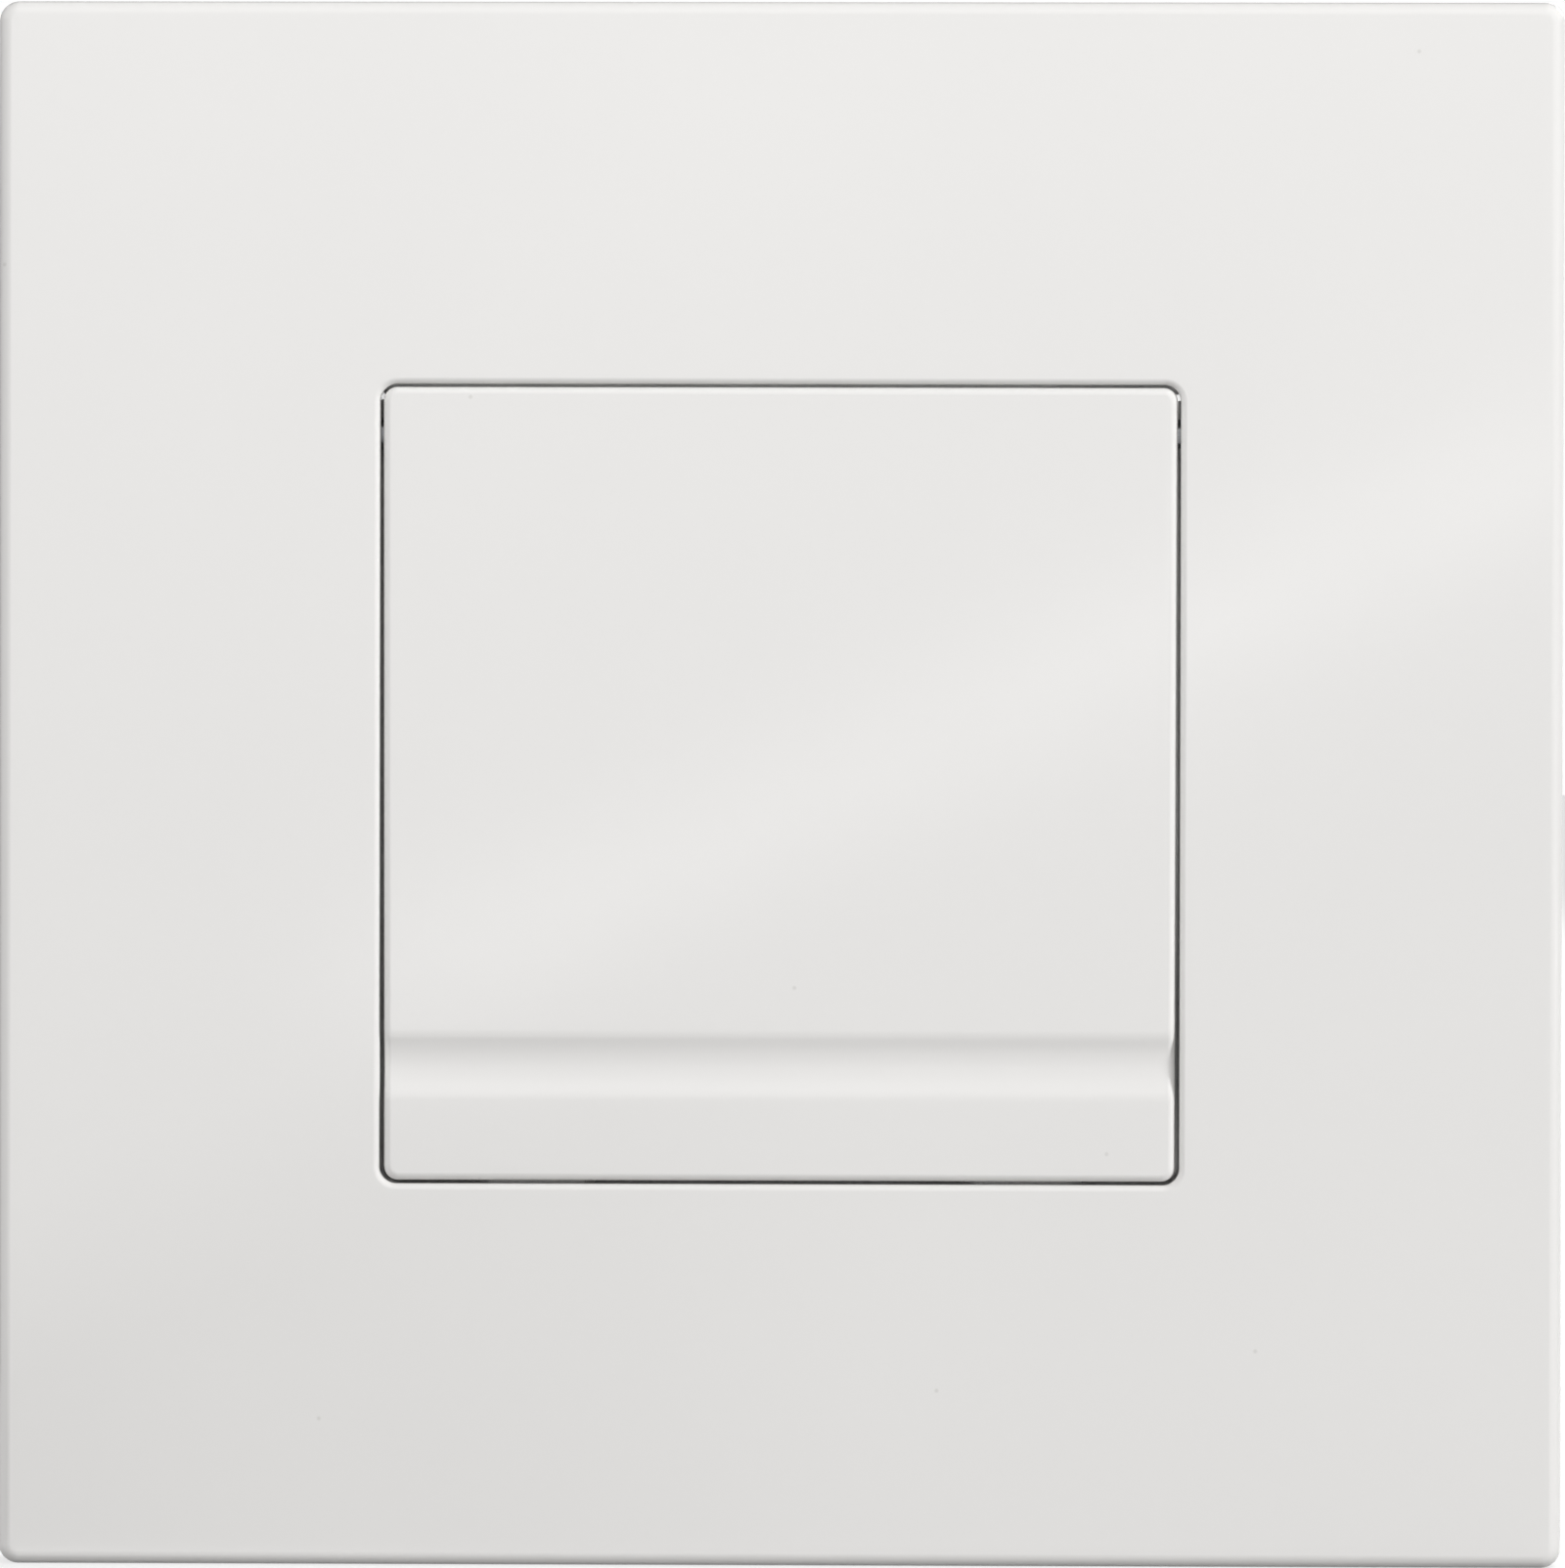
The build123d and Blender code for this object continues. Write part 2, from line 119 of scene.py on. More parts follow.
def moulded_skin():
    """What the tool leaves on a moulded face: fine peel, slow shading, gloss patches and a little dust."""
    inputs = {"Peel scale": 900.0, "Dust amount": 0.1}
    shade_scale, gloss_scale, speck_scale = 21.0, 75.0, 62.0
    group, given, result = shader_group("moulded_skin", inputs, ["Peel", "Shade", "Gloss", "Dust"])
    vector = given.outputs["Vector"]
    group.links.new(noise(group, vector, given.outputs["Peel scale"]), result.inputs["Peel"])
    group.links.new(spread(group, noise(group, vector, shade_scale), 0.3, 0.7), result.inputs["Shade"])
    group.links.new(spread(group, noise(group, vector, gloss_scale, 3.0), 0.3, 0.7), result.inputs["Gloss"])

    # Specks lie on a loose grid over the front, and only some of its cells hold one
    parts = group.nodes.new("ShaderNodeSeparateXYZ")
    flat = group.nodes.new("ShaderNodeCombineXYZ")
    group.links.new(vector, parts.inputs["Vector"])
    group.links.new(parts.outputs["X"], flat.inputs["X"])
    group.links.new(parts.outputs["Z"], flat.inputs["Y"])
    cells = group.nodes.new("ShaderNodeTexVoronoi")
    cells.voronoi_dimensions = "2D"
    cells.inputs["Scale"].default_value = speck_scale
    group.links.new(flat.outputs["Vector"], cells.inputs["Vector"])
    speck = spread(group, cells.outputs["Distance"], 0.006, 0.018, 1.0, 0.0)
    chance = group.nodes.new("ShaderNodeSeparateColor")
    group.links.new(cells.outputs["Color"], chance.inputs["Color"])
    kept = group.nodes.new("ShaderNodeMath")
    kept.operation = "LESS_THAN"
    group.links.new(chance.outputs["Red"], kept.inputs[0])
    group.links.new(given.outputs["Dust amount"], kept.inputs[1])
    group.links.new(product(group, speck, kept.outputs["Value"]), result.inputs["Dust"])
    return group


def new_finish(name):
    """A material ready for nodes: returns it, its tree, its shader and its Object coordinates."""
    material = bpy.data.materials.new(name)
    material.use_nodes = True
    tree = material.node_tree
    shader = next(n for n in tree.nodes if n.type == "BSDF_PRINCIPLED")
    place = tree.nodes.new("ShaderNodeTexCoord").outputs["Object"]
    return material, tree, shader, place


def placed(tree, group, vector, **values):
    """A node group set into a material, with its own values."""
    node = tree.nodes.new("ShaderNodeGroup")
    node.node_tree = group
    tree.links.new(vector, node.inputs["Vector"])
    for label, value in values.items():
        node.inputs[label.replace("_", " ")].default_value = value
    return node.outputs


def blend_colour(tree, factor, first, second):
    """Two colours mixed by a mask; each is three numbers or a colour socket."""
    mix = tree.nodes.new("ShaderNodeMix")
    mix.data_type = "RGBA"
    tree.links.new(factor, mix.inputs["Factor"])
    for socket, colour in ((mix.inputs[6], first), (mix.inputs[7], second)):
        if isinstance(colour, tuple):
            socket.default_value = (*colour, 1.0)
        else:
            tree.links.new(colour, socket)
    return mix.outputs[2]


def relief(tree, shader, height, depth):
    """Bump of the given depth in metres."""
    bump = tree.nodes.new("ShaderNodeBump")
    bump.inputs["Strength"].default_value = 1.0
    bump.inputs["Distance"].default_value = depth
    tree.links.new(height, bump.inputs["Height"])
    tree.links.new(bump.outputs["Normal"], shader.inputs["Normal"])


SKIN = moulded_skin()


def moulded_finish(name, tones, roughness, peel_scale, peel_depth, dust=None, dust_amount=0.0):
    """A moulded plastic or rubber: two close tones, gloss patches, fine peel and, on some, dust."""
    material, tree, shader, place = new_finish(name)
    skin = placed(tree, SKIN, place, Peel_scale=peel_scale, Dust_amount=dust_amount)
    colour = blend_colour(tree, skin["Shade"], *tones)
    if dust:
        colour = blend_colour(tree, skin["Dust"], colour, dust)
    tree.links.new(colour, shader.inputs["Base Color"])
    tree.links.new(spread(tree, skin["Gloss"], 0.0, 1.0, *roughness), shader.inputs["Roughness"])
    relief(tree, shader, skin["Peel"], peel_depth)
    return material


def smooth_moulding(name, node, body, material):
    """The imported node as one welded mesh, with smooth fillets and flat faces."""
    weld_distance = 0.001 * MM
    sharp_angle = math.radians(27)
    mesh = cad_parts[node].data.copy()
    mesh.name = name
    welded = bmesh.new()
    welded.from_mesh(mesh)
    bmesh.ops.remove_doubles(welded, verts=welded.verts, dist=weld_distance)
    welded.to_mesh(mesh)
    welded.free()
    for attribute in ("custom_normal", "sharp_edge", "sharp_face"):
        if attribute in mesh.attributes:
            mesh.attributes.remove(mesh.attributes[attribute])
    mesh.shade_smooth()
    mesh.set_sharp_from_angle(angle=sharp_angle)
    mesh.materials.clear()
    mesh.materials.append(material)
    piece = bpy.data.objects.new(name, mesh)
    bpy.context.scene.collection.objects.link(piece)
    flats = piece.modifiers.new("flat_faces", "WEIGHTED_NORMAL")
    flats.keep_sharp = True
    flats.weight = 100
    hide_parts(node)
    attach(piece, body)


white_abs = moulded_finish(
    "white_abs",
    tones=((0.800, 0.790, 0.775), (0.790, 0.780, 0.766)),
    roughness=(0.080, 0.095),
    peel_scale=900.0,
    peel_depth=0.001 * MM,
    dust=(0.70, 0.69, 0.67),
    dust_amount=0.1,
)
smooth_moulding("cover_moulding", "cover_plate", "plate", white_abs)

# Flush button: a second moulding from the same white ABS, hollow behind, with one finger groove.
# It hangs on the hinge pin along its upper edge, flush with the cover.
smooth_moulding("button_moulding", "flush_button", "button", white_abs)

# Hinge pin: a length of drawn steel rod with chamfered ends, snapped into the cover's two bosses.
# The button's lugs turn on it.
ALONG_X = Matrix(((0, 0, 1, 0), (1, 0, 0, 0), (0, 1, 0, 0), (0, 0, 0, 1)))
ALONG_Y = Matrix(((1, 0, 0, 0), (0, 0, 1, 0), (0, -1, 0, 0), (0, 0, 0, 1)))


def drawn_metal():
    """Fine lines along a drawn or rolled piece, and a slow mottle from its plating."""
    group, given, result = shader_group("drawn_metal", {"Mottle scale": 400.0}, ["Lines", "Mottle"])
    line_scale, line_stretch = 5200.0, (0.08, 1.0, 1.0)
    stretch = group.nodes.new("ShaderNodeMapping")
    stretch.inputs["Scale"].default_value = line_stretch
    group.links.new(given.outputs["Vector"], stretch.inputs["Vector"])
    lines = noise(group, stretch.outputs["Vector"], line_scale, 3.0)
    group.links.new(spread(group, lines, 0.25, 0.75), result.inputs["Lines"])
    mottle = noise(group, given.outputs["Vector"], given.outputs["Mottle scale"], 3.0)
    group.links.new(spread(group, mottle, 0.3, 0.7), result.inputs["Mottle"])
    return group


METAL = drawn_metal()


def metal_finish(name, tones, roughness, mottle_scale):
    """A drawn, rolled or stamped metal: two close tones, and gloss that follows its fine lines."""
    line_depth = 0.0015 * MM
    material, tree, shader, place = new_finish(name)
    metal = placed(tree, METAL, place, Mottle_scale=mottle_scale)
    tree.links.new(blend_colour(tree, metal["Mottle"], *tones), shader.inputs["Base Color"])
    tree.links.new(spread(tree, metal["Lines"], 0.0, 1.0, *roughness), shader.inputs["Roughness"])
    shader.inputs["Metallic"].default_value = 1.0
    relief(tree, shader, metal["Lines"], line_depth)
    return material


def mesh_of(shape, name):
    """A plain mesh from a shape, faces pointing outwards."""
    bmesh.ops.recalc_face_normals(shape, faces=shape.faces)
    mesh = bpy.data.meshes.new(name)
    shape.to_mesh(mesh)
    shape.free()
    return mesh


def finished(name, shape, node, body, material, sharp=35.0):
    """A shape in its final place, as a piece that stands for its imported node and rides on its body."""
    mesh = mesh_of(shape, name)
    mesh.shade_smooth()
    mesh.set_sharp_from_angle(angle=math.radians(sharp))
    mesh.materials.append(material)
    piece = bpy.data.objects.new(name, mesh)
    bpy.context.scene.collection.objects.link(piece)
    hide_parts(node)
    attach(piece, body)


def turned(outline, axis, centre, steps=48, closed=False):
    """A mesh turned about an axis: the outline gives radius and place along it, in millimetres."""
    shape = bmesh.new()
    rings = []
    for radius, along in outline:
        count = steps if radius > 0 else 1
        angles = [math.tau * i / count for i in range(count)]
        points = [Vector((radius * math.cos(a), radius * math.sin(a), along)) * MM for a in angles]
        rings.append([shape.verts.new(p) for p in points])
    pairs = list(zip(rings, rings[1:] + rings[:1])) if closed else list(zip(rings, rings[1:]))
    for first, second in pairs:
        for i in range(steps):
            corners = [first[i % len(first)], first[(i + 1) % len(first)]]
            corners += [second[(i + 1) % len(second)], second[i % len(second)]]
            corners = list(dict.fromkeys(corners))
            if len(corners) > 2:
                shape.faces.new(corners)
    shape.transform(Matrix.Translation(centre) @ axis)
    return shape


zinc_steel = metal_finish(
    "zinc_steel",
    tones=((0.52, 0.53, 0.55), (0.42, 0.43, 0.45)),
    roughness=(0.22, 0.36),
    mottle_scale=260.0,
)
pin_low, pin_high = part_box("hinge_pin")
pin_middle = (pin_low + pin_high) / 2
pin_radius = (pin_high.z - pin_low.z) / 2 / MM
pin_end = (pin_high.x - pin_low.x) / 2 / MM
PIN_CHAMFER = 0.35
pin_outline = [
    (0, -pin_end),
    (pin_radius - PIN_CHAMFER, -pin_end),
    (pin_radius, -pin_end + PIN_CHAMFER),
    (pin_radius, pin_end - PIN_CHAMFER),
    (pin_radius - PIN_CHAMFER, pin_end),
    (0, pin_end),
]
pin_shape = turned(pin_outline, ALONG_X, pin_middle)
finished("hinge_rod", pin_shape, "hinge_pin", "plate", zinc_steel)

# Pin clips: dished push-on washers stamped from spring steel, with teeth that bite the pin.
# One is pressed on to each end of the pin, against the cover's boss.
TEETH = 6
TOOTH_STEPS, TOOTH_WIDTH = 12, 8
TOOTH_PLAY, SLIT_DEPTH = 0.03, 0.5
CLIP_SHEET = 0.35
spring_steel = metal_finish(
    "spring_steel",
    tones=((0.50, 0.51, 0.53), (0.38, 0.385, 0.40)),
    roughness=(0.22, 0.36),
    mottle_scale=900.0,
)


def toothed_clip(side):
    low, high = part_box("pin_clip_right" if side > 0 else "pin_clip_left")
    middle = (low + high) / 2
    rim = (high.z - low.z) / 2 / MM
    depth = (high.x - low.x) / MM
    shape = bmesh.new()
    layers = []
    count = TEETH * TOOTH_STEPS
    for lift in (0.0, CLIP_SHEET):
        loops = []
        for share in (0.0, 0.4, 0.75, 0.92, 1.0):
            loop = []
            for i in range(count):
                angle = math.tau * i / count
                in_tooth = i % TOOTH_STEPS < TOOTH_WIDTH
                bite = pin_radius + (TOOTH_PLAY if in_tooth else SLIT_DEPTH)
                radius = bite + (rim - bite) * share
                dish = (depth - CLIP_SHEET) * (1 - share) ** 1.3
                place = dish + lift - depth / 2
                point = Vector((radius * math.cos(angle), radius * math.sin(angle), place))
                loop.append(shape.verts.new(point * MM))
            loops.append(loop)
        layers.append(loops)
    ring = layers[0] + layers[1][::-1]
    for first, second in zip(ring, ring[1:] + ring[:1]):
        for i in range(count):
            j = (i + 1) % count
            shape.faces.new((first[i], first[j], second[j], second[i]))
    turn = ALONG_X if side > 0 else ALONG_X @ Matrix.Rotation(math.pi, 4, "X")
    shape.transform(Matrix.Translation(middle) @ turn)
    return shape


for hand, side in (("left", -1), ("right", 1)):
    node = "pin_clip_" + hand
    finished(node + "_stamping", toothed_clip(side), node, "plate", spring_steel)

# Return springs: torsion springs wound from round spring wire, slipped over the hinge pin.
# One leg lies on the button's inner face, the other is bent up behind the collar of the cover.


def tree_node(tree, kind, **settings):
    node = tree.nodes.new(kind)
    for label, value in settings.items():
        setattr(node, label, value)
    return node


def open_tree(name, inputs):
    """A geometry tree with its sizes as named inputs: returns tree, input node and output node."""
    tree = bpy.data.node_groups.new(name, "GeometryNodeTree")
    tree.interface.new_socket("Geometry", in_out="INPUT", socket_type="NodeSocketGeometry")
    for label, (kind, value) in inputs.items():
        socket = tree.interface.new_socket(label, in_out="INPUT", socket_type="NodeSocket" + kind)
        if value is not None:
            socket.default_value = value
    tree.interface.new_socket("Geometry", in_out="OUTPUT", socket_type="NodeSocketGeometry")
    return tree, tree.nodes.new("NodeGroupInput"), tree.nodes.new("NodeGroupOutput")


def wire_tree():
    """Round wire along a line of points."""
    inputs = {"Wire radius": ("Float", 0.0004), "Sides": ("Int", 12), "Finish": ("Material", None)}
    tree, given, result = open_tree("wire_along_path", inputs)
    path = tree_node(tree, "GeometryNodeMeshToCurve")
    section = tree_node(tree, "GeometryNodeCurvePrimitiveCircle")
    skin = tree_node(tree, "GeometryNodeCurveToMesh")
    skin.inputs["Fill Caps"].default_value = True
    real = tree_node(tree, "GeometryNodeRealizeInstances")
    finish = tree_node(tree, "GeometryNodeSetMaterial")
    tree.links.new(given.outputs["Geometry"], path.inputs["Mesh"])
    tree.links.new(given.outputs["Sides"], section.inputs["Resolution"])
    tree.links.new(given.outputs["Wire radius"], section.inputs["Radius"])
    tree.links.new(path.outputs["Curve"], skin.inputs["Curve"])
    tree.links.new(section.outputs["Curve"], skin.inputs["Profile Curve"])
    tree.links.new(skin.outputs["Mesh"], real.inputs["Geometry"])
    tree.links.new(real.outputs["Geometry"], finish.inputs["Geometry"])
    tree.links.new(given.outputs["Finish"], finish.inputs["Material"])
    tree.links.new(finish.outputs["Geometry"], result.inputs["Geometry"])
    return tree


def grown(name, base_mesh, tree, sharp, **values):
    """The tree run on a mesh, kept as one plain mesh."""
    piece = bpy.data.objects.new(name, base_mesh)
    bpy.context.scene.collection.objects.link(piece)
    modifier = piece.modifiers.new(tree.name, "NODES")
    modifier.node_group = tree
    keys = {i.name: i.identifier for i in tree.interface.items_tree if i.in_out == "INPUT"}
    for label, value in values.items():
        modifier[keys[label.replace("_", " ")]] = value
    seen = piece.evaluated_get(bpy.context.evaluated_depsgraph_get())
    mesh = bpy.data.meshes.new_from_object(seen)
    piece.modifiers.remove(modifier)
    mesh.name = name
    piece.data = mesh
    mesh.shade_smooth()
    mesh.set_sharp_from_angle(angle=math.radians(sharp))
    return piece


def line_mesh(points):
    """Points joined in a row, as the path of a wire."""
    mesh = bpy.data.meshes.new("path")
    mesh.from_pydata(points, [(i, i + 1) for i in range(len(points) - 1)], [])
    return mesh


def rounded_corner(before, corner, after, radius, steps=8):
    """Points round a wire's bend, from the straight before it to the straight after it."""
    start = corner + (before - corner).normalized() * radius
    end = corner + (after - corner).normalized() * radius
    shares = [i / steps for i in range(steps + 1)]
    return [start * (1 - t) ** 2 + corner * 2 * t * (1 - t) + end * t * t for t in shares]


WIRE = wire_tree()
RETURN_WIRE = 0.8
RETURN_COIL = 2.85
RETURN_TURNS = 2.25
RETURN_PITCH = 1.0
RETURN_LEG = 12.0
RETURN_BEND = 1.2
COLLAR_RISE = 3.85
COIL_STEPS = 48


def return_spring_path(side):
    """The wire's middle line: button leg, coil on the pin, then the leg that goes up behind the collar."""
    low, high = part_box("return_spring_right" if side > 0 else "return_spring_left")
    outer = (high.x if side > 0 else -low.x) / MM - RETURN_WIRE / 2
    steps = round(COIL_STEPS * RETURN_TURNS)
    local = [Vector((RETURN_COIL, -RETURN_LEG, 0))]
    for i in range(steps + 1):
        angle = math.tau * RETURN_TURNS * i / steps
        rise = RETURN_PITCH * RETURN_TURNS * i / steps
        local.append(Vector((RETURN_COIL * math.cos(angle), RETURN_COIL * math.sin(angle), rise)))
    bend = local[-1] - Vector((RETURN_COIL, 0, 0))
    top = bend + Vector((0, COLLAR_RISE, 0))
    local += rounded_corner(local[-1], bend, top, RETURN_BEND) + [top]
    path = []
    for point in local:
        across = side * (outer - point.z) * MM
        path.append(Vector((across, pin_middle.y - point.x * MM, pin_middle.z + point.y * MM)))
    return path


for hand, side in (("left", -1), ("right", 1)):
    node = "return_spring_" + hand
    path = return_spring_path(side)
    spring = grown(
        node + "_wire",
        line_mesh(path),
        WIRE,
        sharp=60.0,
        Wire_radius=RETURN_WIRE / 2 * MM,
        Finish=spring_steel,
    )
    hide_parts(node)
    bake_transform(spring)

# Stop buffers: small pads of soft black rubber, glued to the cover's inner face.
# The button's two stop tabs rest on them, which keeps the button from rattling.
PAD_ROUNDING = 0.45
rubber = moulded_finish(
    "rubber",
    tones=((0.030, 0.030, 0.031), (0.042, 0.041, 0.040)),
    roughness=(0.70, 0.86),
    peel_scale=2600.0,
    peel_depth=0.02 * MM,
    dust=(0.16, 0.16, 0.155),
    dust_amount=0.3,
)
for hand in ("left", "right"):
    node = "stop_buffer_" + hand
    low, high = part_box(node)
    pad = bmesh.new()
    bmesh.ops.create_cube(pad, size=1.0)
    pad.transform(Matrix.Translation((low + high) / 2) @ Matrix.Diagonal((*(high - low), 1.0)))
    edges = pad.edges[:]
    bmesh.ops.bevel(pad, geom=edges, offset=PAD_ROUNDING * MM, segments=4, profile=0.5, affect="EDGES")
    finished("buffer_pad_" + hand, pad, node, "plate", rubber)

# Mounting frame: a channel-section ring in grey ABS with a spark-eroded grain.
# Two screws hold it to the cistern, and a yoke set back behind it guides the push rod.
frame_abs = moulded_finish(
    "frame_abs",
    tones=((0.460, 0.470, 0.480), (0.430, 0.440, 0.452)),
    roughness=(0.46, 0.58),
    peel_scale=2400.0,
    peel_depth=0.012 * MM,
    dust=(0.60, 0.60, 0.59),
    dust_amount=0.25,
)
smooth_moulding("frame_moulding", "mounting_frame", "plate", frame_abs)

# Fixing screws: zinc-plated M6 machine screws with a cross recess, turned and rolled from steel.
# They pass through the frame's slots into the cistern, each on a plain washer.
THREAD_PITCH = 1.0
RIDGE_SIZES = {"Height": 0.65, "Bottom Width": 0.92, "Top Width": 0.18}  # in pitches
SCREW_HEAD = 3.3
SHANK_RADIUS, ROOT_RADIUS, THREAD_RADIUS = 2.7, 2.5, 2.67
THREAD_START, THREAD_LESS = 0.6, 1.8  # behind the wall plane, and short of the screw's length there
RECESS_MOUTH, RECESS_FLOOR, RECESS_BLADE = 2.6, 1.1, 0.55
RECESS_LEAD, RECESS_DEPTH = 0.6, 2.0  # before and behind the top of the head
RECESS_TURN = 0.3


def thread_tree():
    """A rolled thread: a ridge with a flat crest wound along Y, joined to the blank that carries it."""
    inputs = {
        "Mean radius": ("Float", 0.0027),
        "Pitch": ("Float", 0.001),
        "Turns": ("Float", 20.0),
        "Start": ("Vector", (0.0, 0.0, 0.0)),
        "Finish": ("Material", None),
    }
    tree, given, result = open_tree("rolled_thread", inputs)
    length = tree_node(tree, "ShaderNodeMath", operation="MULTIPLY")
    winding = tree_node(tree, "GeometryNodeCurveSpiral")
    winding.inputs["Resolution"].default_value = 24
    upright = tree_node(tree, "GeometryNodeSetCurveNormal", mode="Z_UP")
    ridge = tree_node(tree, "GeometryNodeCurvePrimitiveQuadrilateral", mode="TRAPEZOID")
    ridge.inputs["Offset"].default_value = 0.0
    turned_out = tree_node(tree, "GeometryNodeTransform")
    turned_out.inputs["Rotation"].default_value = (0.0, 0.0, -math.pi / 2)
    skin = tree_node(tree, "GeometryNodeCurveToMesh")
    skin.inputs["Fill Caps"].default_value = True
    laid = tree_node(tree, "GeometryNodeTransform")
    laid.inputs["Rotation"].default_value = (-math.pi / 2, 0.0, 0.0)
    joined = tree_node(tree, "GeometryNodeJoinGeometry")
    real = tree_node(tree, "GeometryNodeRealizeInstances")
    finish = tree_node(tree, "GeometryNodeSetMaterial")
    link = tree.links.new
    link(given.outputs["Pitch"], length.inputs[0])
    link(given.outputs["Turns"], length.inputs[1])
    for side, share in RIDGE_SIZES.items():
        part = tree_node(tree, "ShaderNodeMath", operation="MULTIPLY")
        part.inputs[1].default_value = share
        link(given.outputs["Pitch"], part.inputs[0])
        link(part.outputs["Value"], ridge.inputs[side])
    link(given.outputs["Turns"], winding.inputs["Rotations"])
    link(given.outputs["Mean radius"], winding.inputs["Start Radius"])
    link(given.outputs["Mean radius"], winding.inputs["End Radius"])
    link(length.outputs["Value"], winding.inputs["Height"])
    link(winding.outputs["Curve"], upright.inputs["Curve"])
    link(ridge.outputs["Curve"], turned_out.inputs["Geometry"])
    link(upright.outputs["Curve"], skin.inputs["Curve"])
    link(turned_out.outputs["Geometry"], skin.inputs["Profile Curve"])
    link(skin.outputs["Mesh"], laid.inputs["Geometry"])
    link(given.outputs["Start"], laid.inputs["Translation"])
    link(given.outputs["Geometry"], joined.inputs["Geometry"])
    link(laid.outputs["Geometry"], joined.inputs["Geometry"])
    link(joined.outputs["Geometry"], real.inputs["Geometry"])
    link(real.outputs["Geometry"], finish.inputs["Geometry"])
    link(given.outputs["Finish"], finish.inputs["Material"])
    link(finish.outputs["Geometry"], result.inputs["Geometry"])
    return tree


def cut_away(mesh, cutter_mesh):
    """The mesh with another one cut out of it."""
    blank = bpy.data.objects.new("blank", mesh)
    cutter = bpy.data.objects.new("cutter", cutter_mesh)
    bpy.context.scene.collection.objects.link(blank)
    bpy.context.scene.collection.objects.link(cutter)
    cut = blank.modifiers.new("cut", "BOOLEAN")
    cut.operation = "DIFFERENCE"
    cut.solver = "EXACT"
    cut.object = cutter
    seen = blank.evaluated_get(bpy.context.evaluated_depsgraph_get())
    result = bpy.data.meshes.new_from_object(seen)
    bpy.data.objects.remove(blank)
    bpy.data.objects.remove(cutter)
    return result


def cross_recess(centre):
    """A tapered cross, pressed into the front of a screw head."""
    shape = bmesh.new()
    blade = RECESS_BLADE
    rims = []
    for arm, place in ((RECESS_MOUTH, -RECESS_LEAD), (RECESS_FLOOR, RECESS_DEPTH)):
        rim = []
        for quarter in range(4):
            angle = RECESS_TURN + quarter * math.pi / 2
            along = Vector((math.cos(angle), 0, math.sin(angle)))
            aside = Vector((-along.z, 0, along.x))
            for reach, width in ((arm, -blade), (arm, blade), (blade, blade)):
                point = along * reach + aside * width + Vector((0, place, 0))
                rim.append(shape.verts.new(centre + point * MM))
        rims.append(rim)
    front, bottom = rims
    shape.faces.new(front)
    shape.faces.new(bottom[::-1])
    for i in range(len(front)):
        j = (i + 1) % len(front)
        shape.faces.new((front[j], front[i], bottom[i], bottom[j]))
    return mesh_of(shape, "recess")


THREAD = thread_tree()
for hand in ("left", "right"):
    node = "fixing_screw_" + hand
    low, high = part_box(node)
    head = (high.z - low.z) / 2 / MM
    crown, tip = low.y / MM, high.y / MM
    seat = crown + SCREW_HEAD
    axis_line = Vector(((low.x + high.x) / 2, 0, (low.z + high.z) / 2))
    blank = [
        (0, crown + 0.05),
        (head * 0.45, crown + 0.1),
        (head * 0.72, crown + 0.35),
        (head * 0.88, crown + 0.8),
        (head * 0.97, crown + 1.5),
        (head, crown + 2.3),
        (head, seat - 0.25),
        (head - 0.25, seat),
        (SHANK_RADIUS, seat),
        (SHANK_RADIUS, -0.2),
        (ROOT_RADIUS, 0.2),
        (ROOT_RADIUS, tip - 0.9),
        (1.9, tip - 0.1),
        (0, tip - 0.1),
    ]
    plain = mesh_of(turned(blank, ALONG_Y, axis_line), node)
    recessed = cut_away(plain, cross_recess(axis_line + Vector((0, crown * MM, 0))))
    screw = grown(
        node + "_thread",
        recessed,
        THREAD,
        sharp=30.0,
        Mean_radius=THREAD_RADIUS * MM,
        Pitch=THREAD_PITCH * MM,
        Turns=(tip - THREAD_LESS) / THREAD_PITCH,
        Start=axis_line + Vector((0, THREAD_START * MM, 0)),
        Finish=zinc_steel,
    )
    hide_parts(node)
    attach(screw, "plate")

# Fixing washers: plain M6 washers, stamped from zinc-plated strip, so one rim is rounded and one is sharp.
# They lie in the frame's channel under the screw heads.
WASHER_BORE = 3.0
for hand in ("left", "right"):
    node = "fixing_washer_" + hand
    low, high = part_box(node)
    rim, front, back = (high.z - low.z) / 2 / MM, low.y / MM, high.y / MM
    band = [
        (WASHER_BORE + 0.15, front),
        (rim - 0.4, front),
        (rim - 0.12, front + 0.12),
        (rim, front + 0.4),
        (rim, back - 0.08),
        (rim - 0.08, back),
        (WASHER_BORE, back),
        (WASHER_BORE, front + 0.15),
    ]
    washer_line = Vector(((low.x + high.x) / 2, 0, (low.z + high.z) / 2))
    washer = turned(band, ALONG_Y, washer_line, closed=True)
    finished("washer_" + hand, washer, node, "plate", zinc_steel)

